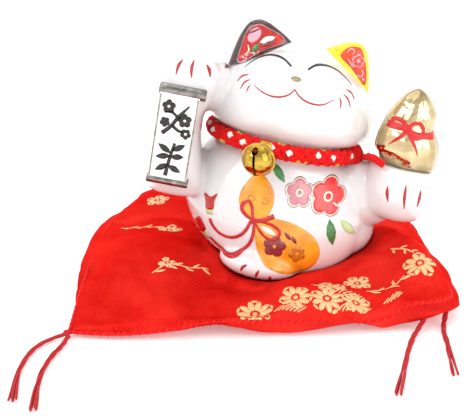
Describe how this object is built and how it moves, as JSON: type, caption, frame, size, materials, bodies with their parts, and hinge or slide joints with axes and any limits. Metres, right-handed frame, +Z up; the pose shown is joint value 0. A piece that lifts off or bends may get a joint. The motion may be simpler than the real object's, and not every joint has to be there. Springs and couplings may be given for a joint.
{
  "type": "beckoning cat figurine",
  "caption": "Glazed beckoning cat with a raised paw and scroll, gold gourd, cord collar and bell, leaning in the dent of a square brocade cushion with corner threads.",
  "frame": {"origin": "on the floor under the middle of the cushion", "axes": "+Z up, -Y to the cat's front, +X to the cat's left, where it holds the gourd"},
  "size_m": [0.1669, 0.2119, 0.1155],
  "materials": {
    "white_glaze": "clear gloss glaze over white ceramic",
    "brown_glaze": "dark brown gloss glaze",
    "yellow_glaze": "yellow gloss glaze",
    "gold_lustre": "pale gold mirror lustre",
    "silver_lustre": "silver mirror lustre, a little tarnished",
    "bell_brass": "polished, lacquered",
    "pellet_steel": "plain",
    "braided_cord": "braided cord with white and gold flecks",
    "red_thread": "twisted thread",
    "red_brocade": "satin twill with woven gold blossoms",
    "red_lining": "plain satin",
    "wadding": "loose fibre filling"
  },
  "bodies": {
    "cushion": {"cushion_top_cover": "red_brocade", "cushion_bottom_cover": "red_lining", "cushion_filling": "wadding", "edge_stitching": "red_thread", "tassel_left_outer": "red_thread", "tassel_left_inner": "red_thread", "tassel_right_inner": "red_thread", "tassel_right_outer": "red_thread"},
    "cat": {"body_shell": "white_glaze", "head_shell": "white_glaze", "ear_brown": "brown_glaze", "ear_yellow": "yellow_glaze", "raised_arm": "white_glaze", "holding_arm": "white_glaze", "tail": "white_glaze", "scroll_panel": "white_glaze", "scroll_top_bar": "silver_lustre", "scroll_bottom_bar": "silver_lustre", "gold_gourd": "gold_lustre"},
    "collar": {"collar_cord": "braided_cord", "collar_knot": "braided_cord", "collar_tail": "braided_cord"},
    "bell": {"bell_eye": "bell_brass", "bell_cap": "bell_brass", "bell_mouth": "bell_brass", "bell_rim": "bell_brass"},
    "pellet": {"bell_pellet": "pellet_steel"}
  },
  "joints": [
    {"name": "cat_lift", "type": "slide", "parent": "cushion", "child": "cat", "axis": [0, 0, 1], "range_m": [0, 0.08]},
    {"name": "collar_turn", "type": "hinge", "parent": "cat", "child": "collar", "pos_m": [0.0092, -0.002, 0.06306], "axis": [0.1822, 0, 0.9833], "range_deg": [-15, 0]},
    {"name": "bell_swing", "type": "hinge", "parent": "collar", "child": "bell", "pos_m": [0.00068, -0.03436, 0.06464], "axis": [0.9498, -0.2588, -0.176], "range_deg": [-40, 26]},
    {"name": "pellet_roll", "type": "hinge", "parent": "bell", "child": "pellet", "pos_m": [-0.00271, -0.04528, 0.0624], "axis": [0.9498, -0.2588, -0.176], "range_deg": [-40, 40]}
  ]
}
